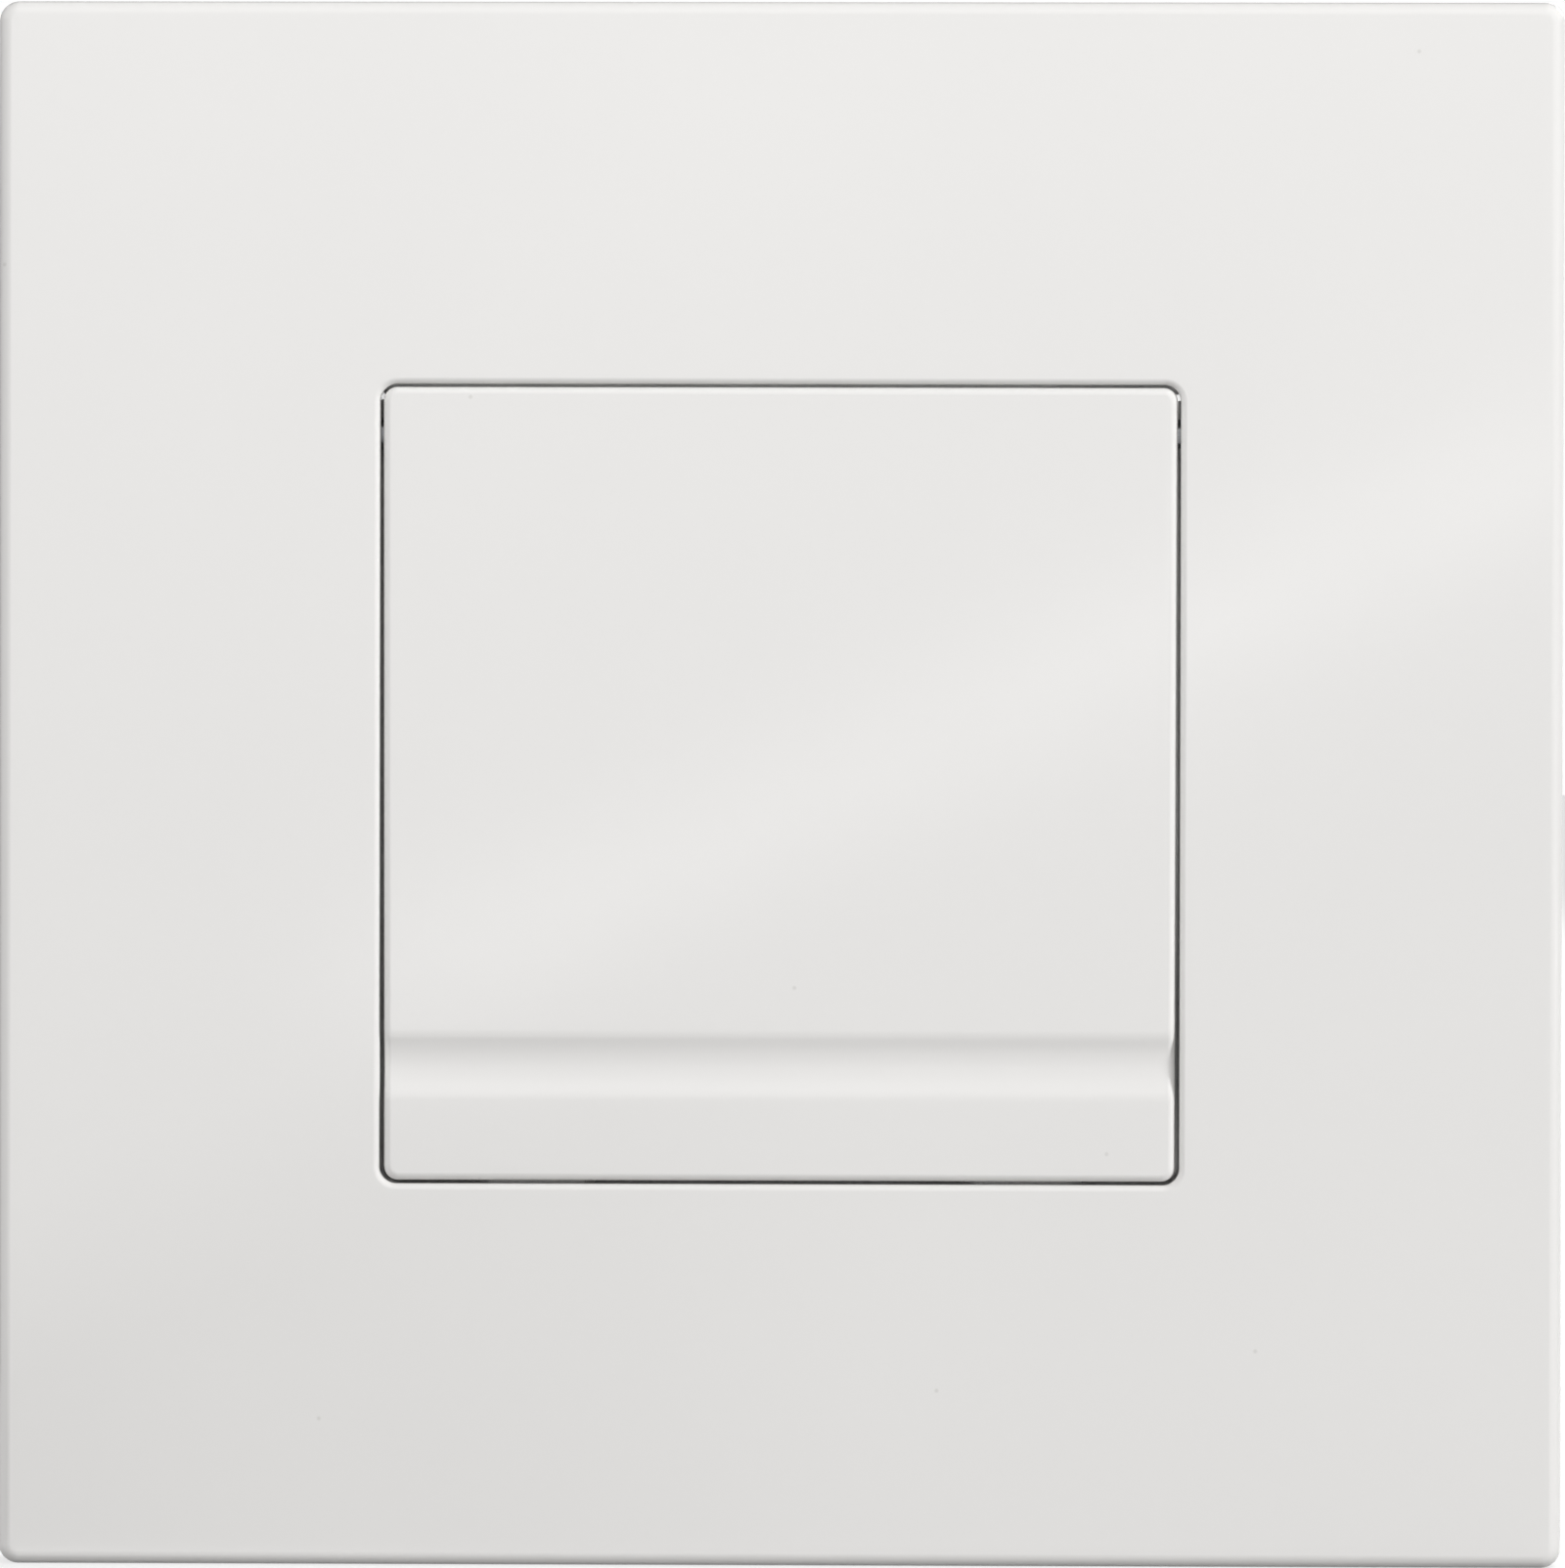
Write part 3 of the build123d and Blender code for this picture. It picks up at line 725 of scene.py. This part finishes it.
# Push rod: a zinc-plated steel rod, plain where it slides in the guide and threaded behind it.
# A ring groove is turned where the retaining ring sits.
rod_low, rod_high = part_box("push_rod")
rod_line = Vector(((rod_low.x + rod_high.x) / 2, 0, (rod_low.z + rod_high.z) / 2))
rod_radius = (rod_high.z - rod_low.z) / 2 / MM
rod_front, rod_rear = rod_low.y / MM, rod_high.y / MM
ring_low, ring_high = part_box("rod_retaining_ring")
ring_front, ring_rear = ring_low.y / MM, ring_high.y / MM
ROD_CHAMFER = 0.3
GROOVE_DEPTH = 0.5
THREAD_DEPTH, THREAD_INSET = 0.5, 0.33
ROD_THREAD_START, ROD_THREAD_LESS = 2.6, 4.0  # behind the ring, and short of the rod's length there
rod_outline = [
    (0, rod_front),
    (rod_radius - ROD_CHAMFER, rod_front),
    (rod_radius, rod_front + ROD_CHAMFER),
    (rod_radius, ring_front),
    (rod_radius - GROOVE_DEPTH, ring_front),
    (rod_radius - GROOVE_DEPTH, ring_rear),
    (rod_radius, ring_rear),
    (rod_radius, ring_rear + 1.5),
    (rod_radius - THREAD_DEPTH, ring_rear + 2.0),
    (rod_radius - THREAD_DEPTH, rod_rear - 0.5),
    (rod_radius - 1.0, rod_rear),
    (0, rod_rear),
]
rod = grown(
    "push_rod_threaded",
    mesh_of(turned(rod_outline, ALONG_Y, rod_line), "push_rod_blank"),
    THREAD,
    sharp=30.0,
    Mean_radius=(rod_radius - THREAD_INSET) * MM,
    Pitch=THREAD_PITCH * MM,
    Turns=rod_rear - ring_rear - ROD_THREAD_LESS,
    Start=rod_line + Vector((0, (ring_rear + ROD_THREAD_START) * MM, 0)),
    Finish=zinc_steel,
)
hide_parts("push_rod")
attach(rod, "rod")

# Rod head: a turned cap of natural white acetal, pressed on to the front of the rod.
# The button's domed boss slides on its flat face, and the spring bears on its back.
rod_plastic = moulded_finish(
    "rod_plastic",
    tones=((0.720, 0.720, 0.700), (0.680, 0.680, 0.655)),
    roughness=(0.34, 0.46),
    peel_scale=1500.0,
    peel_depth=0.006 * MM,
)
low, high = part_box("push_rod_head")
cap, cap_front, neck_rear = (high.z - low.z) / 2 / MM, low.y / MM, high.y / MM
NECK_LENGTH = 2.0
cap_rear = neck_rear - NECK_LENGTH
neck = 3.7
BORE_PLAY = 0.02
cap_outline = [
    (0, cap_front),
    (cap - 0.7, cap_front),
    (cap - 0.2, cap_front + 0.2),
    (cap, cap_front + 0.7),
    (cap, cap_rear - 0.35),
    (cap - 0.1, cap_rear - 0.1),
    (cap - 0.35, cap_rear),
    (neck + 0.15, cap_rear),
    (neck, cap_rear + 0.15),
    (neck, neck_rear - 0.3),
    (neck - 0.3, neck_rear),
    (rod_radius + BORE_PLAY, neck_rear),
    (rod_radius + BORE_PLAY, rod_front),
    (0, rod_front),
]
head_shape = turned(cap_outline, ALONG_Y, rod_line, steps=64)
finished("rod_cap", head_shape, "push_rod_head", "rod", rod_plastic)

# Retaining ring: an E-shaped ring stamped from spring steel, pushed sideways into the rod's groove.
# It stops the rod at the rear end of the guide.
RING_GAP = math.radians(64)
RING_RELIEF, RING_BITE = 0.75, 0.73
ring_rim = (ring_high.z - ring_low.z) / 2 / MM
ring_shape = bmesh.new()
ring_steps = 96
sections = []
for i in range(ring_steps + 1):
    turn = RING_GAP / 2 + (math.tau - RING_GAP) * i / ring_steps
    # Three teeth reach into the groove, with relief between them
    bite = 0.5 + 0.5 * math.cos(3 * (turn - math.pi))
    inner = rod_radius + RING_RELIEF - RING_BITE * min(1.0, max(0.0, 2.6 * bite - 0.9))
    across = Vector((math.sin(turn), 0, -math.cos(turn)))
    rims = ((inner, ring_front), (ring_rim, ring_front), (ring_rim, ring_rear), (inner, ring_rear))
    corners = []
    for radius, place in rims:
        corners.append(ring_shape.verts.new(rod_line + (across * radius + Vector((0, place, 0))) * MM))
    sections.append(corners)
for first, second in zip(sections, sections[1:]):
    for i in range(4):
        j = (i + 1) % 4
        ring_shape.faces.new((first[i], first[j], second[j], second[i]))
ring_shape.faces.new(sections[0][::-1])
ring_shape.faces.new(sections[-1])
finished("retaining_ring", ring_shape, "rod_retaining_ring", "rod", spring_steel)

# Locknut: a thin zinc-plated hexagon nut, chamfered on both faces, run up against the tip.
# It keeps the rod's set length.
low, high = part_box("push_rod_locknut")
nut_front, nut_rear = low.y / MM, high.y / MM
flat = min(high.z - low.z, high.x - low.x) / 2 / MM
pointed_up = (high.z - low.z) > (high.x - low.x)
nut_face = flat * 0.97
CHAMFER_SLOPE = math.tan(math.radians(30))
nut_steps = 96
nut_shape = bmesh.new()
nut_loops = [[] for _ in range(8)]
for i in range(nut_steps):
    angle = math.tau * i / nut_steps
    off = (angle + (math.pi / 6 if pointed_up else 0.0)) % (math.pi / 3) - math.pi / 6
    edge = flat / math.cos(off)
    slope = max(0.0, edge - nut_face) * CHAMFER_SLOPE
    rows = [
        (rod_radius - 0.4, nut_front + 0.5),
        (rod_radius + 0.1, nut_front),
        (nut_face, nut_front),
        (edge, nut_front + slope),
        (edge, nut_rear - slope),
        (nut_face, nut_rear),
        (rod_radius + 0.1, nut_rear),
        (rod_radius - 0.4, nut_rear - 0.5),
    ]
    for loop, (radius, place) in zip(nut_loops, rows):
        point = Vector((radius * math.cos(angle), place, radius * math.sin(angle))) * MM
        loop.append(nut_shape.verts.new(rod_line + point))
for first, second in zip(nut_loops, nut_loops[1:] + nut_loops[:1]):
    for i in range(nut_steps):
        j = (i + 1) % nut_steps
        nut_shape.faces.new((first[i], first[j], second[j], second[i]))
finished("locknut", nut_shape, "push_rod_locknut", "rod", zinc_steel, sharp=20.0)

# Rod tip: a moulded acetal cap screwed on to the rod, ribbed so that fingers can turn it.
# Its rear face works the flush valve in the cistern.


def ribs_tree():
    """Slim ribs in a ring round the Y axis, joined to the body that carries them."""
    inputs = {
        "Count": ("Int", 16),
        "Ring radius": ("Float", 0.004),
        "Rib radius": ("Float", 0.0003),
        "Rib length": ("Float", 0.008),
        "Middle": ("Vector", (0.0, 0.0, 0.0)),
        "Finish": ("Material", None),
    }
    tree, given, result = open_tree("grip_ribs", inputs)
    ring = tree_node(tree, "GeometryNodeMeshCircle")
    rib = tree_node(tree, "GeometryNodeMeshCylinder")
    rib.inputs["Vertices"].default_value = 10
    set_out = tree_node(tree, "GeometryNodeInstanceOnPoints")
    laid = tree_node(tree, "GeometryNodeTransform")
    laid.inputs["Rotation"].default_value = (-math.pi / 2, 0.0, 0.0)
    joined = tree_node(tree, "GeometryNodeJoinGeometry")
    real = tree_node(tree, "GeometryNodeRealizeInstances")
    finish = tree_node(tree, "GeometryNodeSetMaterial")
    link = tree.links.new
    link(given.outputs["Count"], ring.inputs["Vertices"])
    link(given.outputs["Ring radius"], ring.inputs["Radius"])
    link(given.outputs["Rib radius"], rib.inputs["Radius"])
    link(given.outputs["Rib length"], rib.inputs["Depth"])
    link(ring.outputs["Mesh"], set_out.inputs["Points"])
    link(rib.outputs["Mesh"], set_out.inputs["Instance"])
    link(set_out.outputs["Instances"], laid.inputs["Geometry"])
    link(given.outputs["Middle"], laid.inputs["Translation"])
    link(given.outputs["Geometry"], joined.inputs["Geometry"])
    link(laid.outputs["Geometry"], joined.inputs["Geometry"])
    link(joined.outputs["Geometry"], real.inputs["Geometry"])
    link(real.outputs["Geometry"], finish.inputs["Geometry"])
    link(given.outputs["Finish"], finish.inputs["Material"])
    link(finish.outputs["Geometry"], result.inputs["Geometry"])
    return tree


low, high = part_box("push_rod_tip")
sleeve, sleeve_front, sleeve_rear = (high.z - low.z) / 2 / MM, low.y / MM, high.y / MM
rib = 0.35
GRIP_RIBS = 20
grip_front, grip_rear = sleeve_front + 1.6, sleeve_front + 11.0
sleeve_outline = [
    (rod_radius + BORE_PLAY, sleeve_front),
    (sleeve - 0.4, sleeve_front),
    (sleeve, sleeve_front + 0.4),
    (sleeve, grip_front - 0.3),
    (sleeve - rib, grip_front),
    (sleeve - rib, grip_rear),
    (sleeve, grip_rear + 0.3),
    (sleeve, sleeve_rear - 1.1),
    (sleeve - 0.2, sleeve_rear - 0.5),
    (sleeve - 0.6, sleeve_rear - 0.15),
    (sleeve - 1.1, sleeve_rear),
    (0, sleeve_rear),
    (0, rod_rear),
    (rod_radius + BORE_PLAY, rod_rear),
]
sleeve_mesh = mesh_of(turned(sleeve_outline, ALONG_Y, rod_line, steps=64, closed=True), "tip_blank")
tip_piece = grown(
    "rod_tip_ribbed",
    sleeve_mesh,
    ribs_tree(),
    sharp=35.0,
    Count=GRIP_RIBS,
    Ring_radius=(sleeve - rib) * MM,
    Rib_radius=rib * MM,
    Rib_length=(grip_rear - grip_front) * MM,
    Middle=rod_line + Vector((0, (grip_front + grip_rear) / 2 * MM, 0)),
    Finish=rod_plastic,
)
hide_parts("push_rod_tip")
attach(tip_piece, "rod")

# Rod spring: a compression spring in round spring wire with closed end turns.
# It stands between the head and the yoke, and lifts the rod off the flush valve again.
ROD_WIRE = 0.9
low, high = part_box("rod_spring")
coil_radius = (high.x - low.x) / 2 / MM - ROD_WIRE / 2
coil_front, coil_rear = low.y / MM + ROD_WIRE / 2, high.y / MM - ROD_WIRE / 2
CLOSED_TURN = 1.05
OPEN_TURNS = 3.4
closed_rise = ROD_WIRE * 1.02
spring_points = []
all_turns = 2 * CLOSED_TURN + OPEN_TURNS
point_count = round(COIL_STEPS * all_turns)
for i in range(point_count + 1):
    turn = all_turns * i / point_count
    if turn < CLOSED_TURN:
        rise = closed_rise * turn / CLOSED_TURN
    elif turn > CLOSED_TURN + OPEN_TURNS:
        rise = (coil_rear - coil_front) - closed_rise * (all_turns - turn) / CLOSED_TURN
    else:
        share = (turn - CLOSED_TURN) / OPEN_TURNS
        eased = share * 0.85 + 0.15 * share * share * (3 - 2 * share)
        rise = closed_rise + (coil_rear - coil_front - 2 * closed_rise) * eased
    angle = math.tau * turn
    around = Vector((coil_radius * math.cos(angle), coil_front + rise, coil_radius * math.sin(angle)))
    spring_points.append(rod_line + around * MM)
rod_spring = grown(
    "rod_spring_wire",
    line_mesh(spring_points),
    WIRE,
    sharp=60.0,
    Wire_radius=ROD_WIRE / 2 * MM,
    Finish=spring_steel,
)
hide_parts("rod_spring")
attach(rod_spring, "plate")
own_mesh(rod_spring)

# Studio: a pale floor and a white surround. A tall soft strip on the right, a large panel in front and a
# small lamp above the face light the front, and are kept out of the gloss.
# A dim strip leaves the diagonal sheen, and two lamps show the back.
FLOOR_Z = cad_box[0].z
WHITE = (1.0, 1.0, 1.0, 1.0)
BLACK = (0.0, 0.0, 0.0, 1.0)


def background_rays(tree):
    """1 for rays that see the background: those of the camera, and those that gloss or glass sends on."""
    rays = tree.nodes.new("ShaderNodeLightPath")
    value = rays.outputs["Is Camera Ray"]
    for kind in ("Is Glossy Ray", "Is Transmission Ray"):
        larger = tree.nodes.new("ShaderNodeMath")
        larger.operation = "MAXIMUM"
        tree.links.new(value, larger.inputs[0])
        tree.links.new(rays.outputs[kind], larger.inputs[1])
        value = larger.outputs["Value"]
    return value


def floor_finish():
    """Pale where it is seen, and dimmer for the light that it throws back on to the plate."""
    material, tree, shader, _ = new_finish("pale_floor")
    shader.inputs["Base Color"].default_value = (0.32, 0.32, 0.318, 1.0)
    shader.inputs["Roughness"].default_value = 0.8
    shader.inputs["Emission Color"].default_value = WHITE
    shader.inputs["Emission Strength"].default_value = 0.62
    dim = tree.nodes.new("ShaderNodeBsdfDiffuse")
    dim.inputs["Color"].default_value = (0.18, 0.18, 0.18, 1.0)
    pick = tree.nodes.new("ShaderNodeMixShader")
    tree.links.new(background_rays(tree), pick.inputs["Fac"])
    tree.links.new(dim.outputs["BSDF"], pick.inputs[1])
    tree.links.new(shader.outputs["BSDF"], pick.inputs[2])
    output = next(n for n in tree.nodes if n.type == "OUTPUT_MATERIAL")
    tree.links.new(pick.outputs["Shader"], output.inputs["Surface"])
    return material


floor_mesh = bpy.data.meshes.new("floor")
REACH = 6.0
floor_corners = [
    (-REACH, -REACH, FLOOR_Z),
    (REACH, -REACH, FLOOR_Z),
    (REACH, REACH, FLOOR_Z),
    (-REACH, REACH, FLOOR_Z),
]
floor_mesh.from_pydata(floor_corners, [], [(0, 1, 2, 3)])
floor_mesh.materials.append(floor_finish())
floor = bpy.data.objects.new("floor", floor_mesh)
bpy.context.scene.collection.objects.link(floor)


def flag_finish():
    """Black that fades out upwards and to the right."""
    down_the_slant = (0.397, 0.0, -0.918)
    material, tree, shader, place = new_finish("flag")
    shader.inputs["Base Color"].default_value = BLACK
    shader.inputs["Specular IOR Level"].default_value = 0.0
    below = tree.nodes.new("ShaderNodeVectorMath")
    below.operation = "DOT_PRODUCT"
    below.inputs[1].default_value = down_the_slant
    parts = tree.nodes.new("ShaderNodeSeparateXYZ")
    tree.links.new(place, below.inputs[0])
    tree.links.new(place, parts.inputs["Vector"])
    under = spread(tree, below.outputs["Value"], 0.008, 0.026)
    leftward = spread(tree, parts.outputs["X"], -0.082, 0.010, 1.0, 0.0)
    tree.links.new(product(tree, under, leftward), shader.inputs["Alpha"])
    return material


# A flag close to the lower left of the face, seen only as a soft dark reflection in it
flag_mesh = bpy.data.meshes.new("flag")
flag_base = FLOOR_Z + 0.1 * MM
FLAG_LEFT, FLAG_RIGHT, FLAG_Y = -0.11, 0.012, -0.03
flag_corners = [
    (FLAG_LEFT, FLAG_Y, flag_base),
    (FLAG_RIGHT, FLAG_Y, flag_base),
    (FLAG_RIGHT, FLAG_Y, 0.0),
    (FLAG_LEFT, FLAG_Y, 0.0),
]
flag_mesh.from_pydata(flag_corners, [], [(0, 1, 2, 3)])
flag_mesh.materials.append(flag_finish())

# Two black cards to the left and above, behind the wall plane, draw the dark line along those rims
card_mesh = bpy.data.meshes.new("cards")
CARD_SIDE, CARD_BACK = 0.3, 0.8
LEFT_FRONT, LEFT_TOP = 0.05, 0.3
UPPER_FRONT, UPPER_Z = 0.15, 0.35
left_card = [
    (-CARD_SIDE, LEFT_FRONT, flag_base),
    (-CARD_SIDE, CARD_BACK, flag_base),
    (-CARD_SIDE, CARD_BACK, LEFT_TOP),
    (-CARD_SIDE, LEFT_FRONT, LEFT_TOP),
]
upper_card = [
    (-CARD_SIDE, UPPER_FRONT, UPPER_Z),
    (CARD_SIDE, UPPER_FRONT, UPPER_Z),
    (CARD_SIDE, CARD_BACK, UPPER_Z),
    (-CARD_SIDE, CARD_BACK, UPPER_Z),
]
card_mesh.from_pydata(left_card + upper_card, [], [(0, 1, 2, 3), (4, 5, 6, 7)])
card_black, _, card_shader, _ = new_finish("card_black")
card_shader.inputs["Base Color"].default_value = BLACK
card_shader.inputs["Specular IOR Level"].default_value = 0.0
card_mesh.materials.append(card_black)
for shade in (flag_mesh, card_mesh):
    card = bpy.data.objects.new(shade.name, shade)
    card.visible_camera = False
    card.visible_diffuse = False
    card.visible_transmission = False
    card.visible_shadow = False
    bpy.context.scene.collection.objects.link(card)

world = bpy.data.worlds.new("studio")
bpy.context.scene.world = world
world.use_nodes = True
surround = world.node_tree
sky = next(n for n in surround.nodes if n.type == "BACKGROUND")
sky.inputs["Color"].default_value = WHITE
strength = surround.nodes.new("ShaderNodeMapRange")
AMBIENT = 0.10
strength.inputs["To Min"].default_value = AMBIENT
strength.inputs["To Max"].default_value = 1.0
surround.links.new(background_rays(surround), strength.inputs["Value"])
surround.links.new(strength.outputs["Result"], sky.inputs["Strength"])


def soft_light(name, place, size, watts, turn=0.0):
    """A rectangular softbox at a place in metres, aimed at the middle of the plate."""
    lamp = bpy.data.lights.new(name, "AREA")
    lamp.shape = "RECTANGLE"
    lamp.size, lamp.size_y = size
    lamp.energy = watts
    box = bpy.data.objects.new(name, lamp)
    box.location = place
    look = (-Vector(place)).to_track_quat("-Z", "Y")
    box.rotation_mode = "QUATERNION"
    box.rotation_quaternion = look @ Quaternion((0, 0, 1), turn)
    bpy.context.scene.collection.objects.link(box)
    return box


key_strip = soft_light("key_strip", (2.357, -0.835, 0.0), size=(0.35, 1.20), watts=77.0)
front_panel = soft_light("front_panel", (-1.10, -2.73, 0.70), size=(2.40, 2.40), watts=65.0)
top_near = soft_light("top_near", (0.0, -0.28, 0.36), size=(0.40, 0.12), watts=0.60)
for lamp in (key_strip, front_panel, top_near):
    lamp.visible_glossy = False

# The light of the two lamps behind is cut off after one bounce, so that little of it gets into the gaps
back_panel = soft_light("back_panel", (0.9, 1.8, 1.3), size=(1.60, 1.20), watts=44.0)
back_left = soft_light("back_left", (-1.5, 1.5, 0.4), size=(1.00, 1.00), watts=16.5)
for lamp in (back_panel, back_left):
    lamp.data.cycles.max_bounces = 1

SHEEN_SLANT = math.radians(24.3)
soft_light("sheen_strip", (-0.026, -1.7, -0.028), size=(2.40, 0.025), watts=0.50, turn=SHEEN_SLANT)

# Camera: level with the plate, a little to its right and above, on a long lens.
# Its place was worked out from the four corners of the plate in the picture.
DISTANCE = 1.0
AZIMUTH, ELEVATION, ROLL = math.radians(0.864), math.radians(0.695), math.radians(0.117)
lens = bpy.data.cameras.new("camera")
lens.lens = 222.16
lens.sensor_width = 36.0
lens.shift_x, lens.shift_y = 0.00070, -0.00046
camera = bpy.data.objects.new("camera", lens)
level = math.cos(ELEVATION)
eye = Vector((math.sin(AZIMUTH) * level, -math.cos(AZIMUTH) * level, math.sin(ELEVATION)))
camera.location = eye * DISTANCE
camera.rotation_mode = "QUATERNION"
camera.rotation_quaternion = (-eye).to_track_quat("-Z", "Y") @ Quaternion((0, 0, 1), ROLL)
bpy.context.scene.collection.objects.link(camera)
bpy.context.scene.camera = camera
bpy.context.scene.view_settings.view_transform = "Standard"

bpy.context.view_layer.update()
